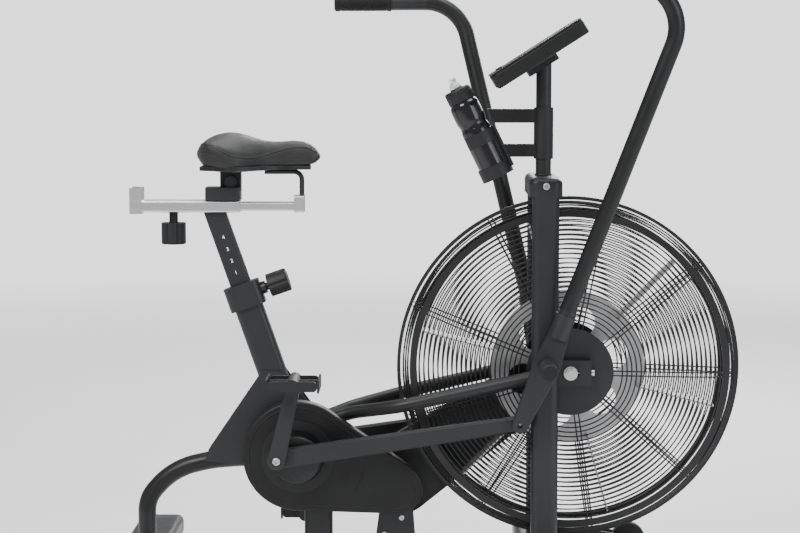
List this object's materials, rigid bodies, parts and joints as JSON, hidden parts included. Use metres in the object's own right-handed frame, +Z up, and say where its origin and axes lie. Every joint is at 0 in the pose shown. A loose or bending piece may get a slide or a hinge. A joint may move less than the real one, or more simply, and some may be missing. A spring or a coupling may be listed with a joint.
{
  "type": "air bike",
  "caption": "Upright exercise bike with a wire-caged fan, moving handles linked to the cranks, sliding saddle, console and bottle holder.",
  "frame": {"origin": "centre of the footprint's bounding box, on the floor", "axes": "+X forward to the fan, +Y to the rider's left, +Z up"},
  "size_m": [1.272, 0.593, 1.3415],
  "materials": {
    "black_steel": "matte charcoal powder coat",
    "plated_steel": "zinc plated, satin",
    "silver_rail": "brushed",
    "black_wire": "satin black coated wire",
    "black_plastic": "fine moulded grain",
    "grey_plastic": "fine moulded grain",
    "grip_rubber": "matt, fine ribbed",
    "wheel_rubber": "smooth",
    "saddle_cover": "satin grained cover",
    "fan_metal": "satin sheet",
    "chain_steel": "oiled",
    "screen_glass": "gloss",
    "bottle_plastic": "smoky gloss"
  },
  "bodies": {
    "frame": {"stabilizers": "black_steel", "stabilizer_caps": "grey_plastic", "foot_pads": "wheel_rubber", "front_posts": "black_steel", "post_yoke": "black_steel", "side_rails": "black_steel", "frame_gusset": "black_steel", "seat_tube": "black_steel", "seat_post_sleeve": "grey_plastic", "rear_leg": "black_steel", "lower_frame": "black_steel", "jackshaft_brackets": "black_steel", "shaft_bearings": "plated_steel", "cage_rim": "black_steel", "right_cage_grille": "black_wire", "left_cage_grille": "black_wire", "hub_covers": "black_steel", "axle_brackets": "black_steel", "fan_axle": "plated_steel", "drive_chains": "chain_steel", "right_chain_guard": "black_plastic", "left_chain_guard": "black_plastic", "foot_pegs": "black_steel", "console_mast": "black_steel", "console_case": "black_plastic", "console_face": "black_plastic", "console_screen": "screen_glass", "bottle_holder": "black_plastic", "transport_wheel_arms": "black_steel"},
    "crank": {"crank_axle": "plated_steel", "crank_sprocket": "chain_steel", "eccentrics": "black_steel", "crank_arms": "black_steel", "pedal_spindles": "plated_steel"},
    "right_pedal": {"right_pedal": "black_plastic"},
    "left_pedal": {"left_pedal": "black_plastic"},
    "right_rod": {"right_link_rod": "black_steel"},
    "left_rod": {"left_link_rod": "black_steel"},
    "right_handle": {"right_lever": "black_steel", "right_handlebar": "black_steel", "right_grip": "grip_rubber"},
    "left_handle": {"left_lever": "black_steel", "left_handlebar": "black_steel", "left_grip": "grip_rubber"},
    "jackshaft": {"jackshaft": "chain_steel"},
    "fan": {"fan_hub": "plated_steel", "fan_blades": "fan_metal"},
    "seat_post": {"seat_post": "black_steel", "seat_channel": "silver_rail"},
    "saddle": {"seat_slide_bar": "silver_rail", "saddle_clamp": "black_steel", "saddle_cushion": "saddle_cover"},
    "height_knob": {"seat_height_knob": "black_plastic"},
    "slide_knob": {"seat_slide_knob": "black_plastic"},
    "button_1": {"console_button_1": "grey_plastic"},
    "button_2": {"console_button_2": "grey_plastic"},
    "button_3": {"console_button_3": "grey_plastic"},
    "bottle": {"water_bottle": "bottle_plastic"},
    "right_wheel": {"right_transport_wheel": "wheel_rubber"},
    "left_wheel": {"left_transport_wheel": "wheel_rubber"}
  },
  "joints": [
    {"name": "crank_spin", "type": "hinge", "parent": "frame", "child": "crank", "pos_m": [-0.264, 0, 0.283], "axis": [0, 1, 0], "continuous": true},
    {"name": "right_pedal_spin", "type": "hinge", "parent": "crank", "child": "right_pedal", "pos_m": [-0.264, 0, 0.453], "axis": [0, 1, 0], "continuous": true},
    {"name": "right_rod_pivot", "type": "hinge", "parent": "crank", "child": "right_rod", "pos_m": [-0.30163, 0, 0.28829], "axis": [0, 1, 0], "continuous": true},
    {"name": "left_pedal_spin", "type": "hinge", "parent": "crank", "child": "left_pedal", "pos_m": [-0.264, 0, 0.113], "axis": [0, 1, 0], "continuous": true},
    {"name": "left_rod_pivot", "type": "hinge", "parent": "crank", "child": "left_rod", "pos_m": [-0.22637, 0, 0.27771], "axis": [0, 1, 0], "continuous": true},
    {"name": "jackshaft_spin", "type": "hinge", "parent": "frame", "child": "jackshaft", "pos_m": [-0.063, 0, 0.217], "axis": [0, 1, 0], "continuous": true},
    {"name": "fan_spin", "type": "hinge", "parent": "frame", "child": "fan", "pos_m": [0.286, 0, 0.458], "axis": [0, 1, 0], "continuous": true},
    {"name": "right_handle_swing", "type": "hinge", "parent": "frame", "child": "right_handle", "pos_m": [0.2356, 0, 0.481], "axis": [0, -1, 0], "range_deg": [0, 33.54]},
    {"name": "left_handle_swing", "type": "hinge", "parent": "frame", "child": "left_handle", "pos_m": [0.2356, 0, 0.481], "axis": [0, -1, 0], "range_deg": [-33.54, 0]},
    {"name": "seat_height_slide", "type": "slide", "parent": "frame", "child": "seat_post", "axis": [-0.3305, 0, 0.9438], "range_m": [-0.06, 0.1]},
    {"name": "saddle_slide", "type": "slide", "parent": "seat_post", "child": "saddle", "axis": [1, 0, 0], "range_m": [-0.04, 0.06]},
    {"name": "seat_height_knob_pull", "type": "slide", "parent": "frame", "child": "height_knob", "axis": [0.9438, 0, 0.3305], "range_m": [0, 0.01], "stiffness_N_per_m": 1500},
    {"name": "seat_slide_knob_turn", "type": "hinge", "parent": "seat_post", "child": "slide_knob", "pos_m": [-0.521, 0, 0.77472], "axis": [0, 0, 1], "range_deg": [0, 360]},
    {"name": "console_button_1_press", "type": "slide", "parent": "frame", "child": "button_1", "axis": [0.5373, 0, -0.8434], "range_m": [0, 0.0015], "stiffness_N_per_m": 900},
    {"name": "console_button_2_press", "type": "slide", "parent": "frame", "child": "button_2", "axis": [0.5373, 0, -0.8434], "range_m": [0, 0.0015], "stiffness_N_per_m": 900},
    {"name": "console_button_3_press", "type": "slide", "parent": "frame", "child": "button_3", "axis": [0.5373, 0, -0.8434], "range_m": [0, 0.0015], "stiffness_N_per_m": 900},
    {"name": "bottle_lift", "type": "slide", "parent": "frame", "child": "bottle", "axis": [-0.4384, 0, 0.8988], "range_m": [0, 0.12]},
    {"name": "right_transport_wheel_spin", "type": "hinge", "parent": "frame", "child": "right_wheel", "pos_m": [0.436, 0, 0.044], "axis": [0, 1, 0], "continuous": true},
    {"name": "left_transport_wheel_spin", "type": "hinge", "parent": "frame", "child": "left_wheel", "pos_m": [0.436, 0, 0.044], "axis": [0, 1, 0], "continuous": true}
  ],
  "couplings": [
    {"joint": "right_rod_pivot", "follows": "crank_spin", "ratio": -1},
    {"joint": "left_rod_pivot", "follows": "crank_spin", "ratio": -1},
    {"joint": "jackshaft_spin", "follows": "crank_spin", "ratio": 3},
    {"joint": "fan_spin", "follows": "crank_spin", "ratio": 6},
    {"joint": "left_handle_swing", "follows": "right_handle_swing", "ratio": -1}
  ]
}
